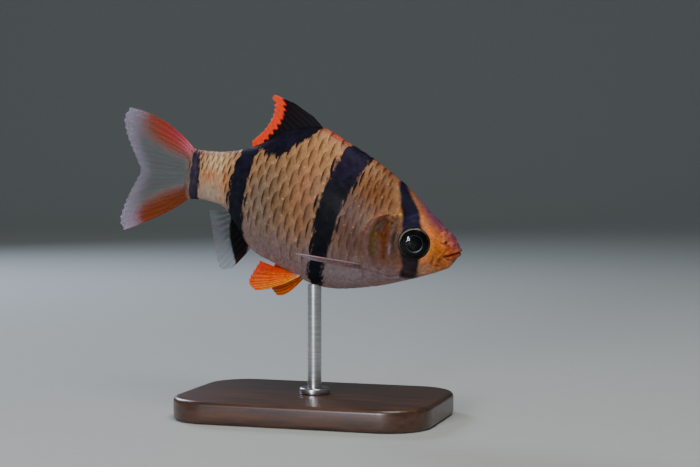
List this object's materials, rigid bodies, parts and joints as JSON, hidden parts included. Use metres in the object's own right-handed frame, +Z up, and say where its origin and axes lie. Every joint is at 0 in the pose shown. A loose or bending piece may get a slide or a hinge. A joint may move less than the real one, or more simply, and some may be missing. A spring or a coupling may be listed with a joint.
{
  "type": "tiger barb",
  "caption": "Still, life-size tiger barb swimming nose down with its tail turned, held over a flat base by one short rod.",
  "frame": {"origin": "centre of the underside of the display base, straight under the rod", "axes": "+Z up, +X the way the fish swims, +Y to the fish's left"},
  "size_m": [0.0633, 0.027, 0.0514],
  "materials": {
    "head_skin": "wet, smooth orange skin",
    "scaled_skin": "pale gold scales with blue-black bands",
    "eye": "black, glossy, with a thin pale ring",
    "dorsal_fin": "black web with a red-orange margin",
    "red_fin": "red to orange web, partly clear",
    "clear_fin": "clear bluish grey web",
    "stand_wood": "dark stained, satin varnish",
    "stand_steel": "fine brushed"
  },
  "bodies": {
    "root": {"head": "head_skin", "lower_jaw": "head_skin", "gill_cover_right": "head_skin", "gill_cover_left": "head_skin", "eye_right": "eye", "eye_left": "eye", "torso_front": "scaled_skin", "torso_rear": "scaled_skin", "tail_stalk": "scaled_skin", "dorsal_fin": "dorsal_fin", "anal_fin": "clear_fin", "tail_fin_upper": "red_fin", "tail_fin_lower": "red_fin", "pectoral_fin_right": "clear_fin", "pectoral_fin_left": "clear_fin", "pelvic_fin_right": "red_fin", "pelvic_fin_left": "red_fin", "stand_base": "stand_wood", "stand_rod": "stand_steel"}
  },
  "joints": []
}
